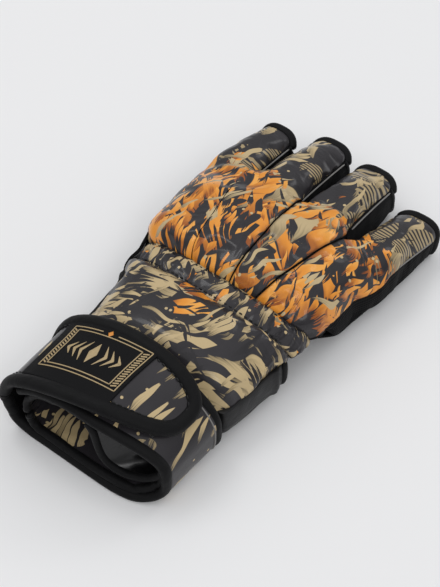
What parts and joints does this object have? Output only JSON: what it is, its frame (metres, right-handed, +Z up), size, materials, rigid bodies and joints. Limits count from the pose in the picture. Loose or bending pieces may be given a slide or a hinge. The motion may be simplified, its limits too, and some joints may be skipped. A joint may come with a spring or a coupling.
{
  "type": "mma glove",
  "caption": "Left-hand open-finger, open-thumb martial arts glove: padded back, knuckle and finger pads, elastic finger loops, palm heel and a wrap-over wrist strap.",
  "frame": {"origin": "centre of the glove's footprint on the surface it lies on, palm down", "axes": "+X towards the thumb side, +Y from the cuff to the fingertips, +Z up from the palm to the back of the hand"},
  "size_m": [0.1331, 0.257, 0.0564],
  "materials": {
    "printed_leather": "satin synthetic leather, charcoal ground with an abstract brush-stroke print in tan and amber",
    "black_leather": "satin, fine grain",
    "binding": "smooth folded tape, stitched",
    "stretch_fabric": "matte knit",
    "lining": "matte brushed knit",
    "foam": "matte closed-cell foam",
    "hook_and_loop": "matte pile",
    "label": "matte patch with a raised gold-coloured double frame"
  },
  "bodies": {
    "hand": {"wrist_band": "printed_leather", "mouth_binding": "binding", "band_rear_binding": "binding", "cuff_lining": "lining", "cuff_tongue": "lining", "loop_tape": "hook_and_loop", "strap_bend": "printed_leather", "back_pad_skin": "printed_leather", "back_pad_foam": "foam", "back_lining": "lining", "flex_strip": "printed_leather", "palm_heel_skin": "black_leather", "palm_heel_foam": "foam", "palm_heel_binding": "binding"},
    "strap_flap": {"strap_binding": "binding", "strap_skin": "printed_leather", "strap_label": "label", "hook_tape": "hook_and_loop"},
    "knuckles": {"knuckle_pad_skin": "printed_leather", "knuckle_pad_foam": "foam", "knuckle_lining": "lining", "palm_panel": "stretch_fabric", "thumb_gusset": "stretch_fabric", "outer_gusset": "stretch_fabric"},
    "little_finger": {"little_pad_skin": "printed_leather", "little_pad_foam": "foam", "little_tip_binding": "binding", "little_loop": "stretch_fabric"},
    "ring_finger": {"ring_pad_skin": "printed_leather", "ring_pad_foam": "foam", "ring_tip_binding": "binding", "ring_loop": "stretch_fabric"},
    "middle_finger": {"middle_pad_skin": "printed_leather", "middle_pad_foam": "foam", "middle_tip_binding": "binding", "middle_loop": "stretch_fabric"},
    "index_finger": {"index_pad_skin": "printed_leather", "index_pad_foam": "foam", "index_tip_binding": "binding", "index_loop": "stretch_fabric"}
  },
  "joints": [
    {"name": "strap_peel", "type": "hinge", "parent": "hand", "child": "strap_flap", "pos_m": [-0.0565, -0.096, 0.0257], "axis": [0, -1, 0], "range_deg": [0, 150]},
    {"name": "knuckle_fold", "type": "hinge", "parent": "hand", "child": "knuckles", "pos_m": [-0.0015, -0.016, 0.028], "axis": [-1, 0, 0], "range_deg": [-10, 35], "stiffness_Nm_per_rad": 1.5},
    {"name": "little_curl", "type": "hinge", "parent": "knuckles", "child": "little_finger", "pos_m": [-0.0509, 0.0575, 0.027], "axis": [-1, 0, 0], "range_deg": [-15, 55], "stiffness_Nm_per_rad": 0.15},
    {"name": "ring_curl", "type": "hinge", "parent": "knuckles", "child": "ring_finger", "pos_m": [-0.0167, 0.0575, 0.027], "axis": [-1, 0, 0], "range_deg": [-15, 55], "stiffness_Nm_per_rad": 0.15},
    {"name": "middle_curl", "type": "hinge", "parent": "knuckles", "child": "middle_finger", "pos_m": [0.0183, 0.0575, 0.027], "axis": [-1, 0, 0], "range_deg": [-15, 55], "stiffness_Nm_per_rad": 0.15},
    {"name": "index_curl", "type": "hinge", "parent": "knuckles", "child": "index_finger", "pos_m": [0.0501, 0.0575, 0.027], "axis": [-1, 0, 0], "range_deg": [-15, 55], "stiffness_Nm_per_rad": 0.15}
  ]
}
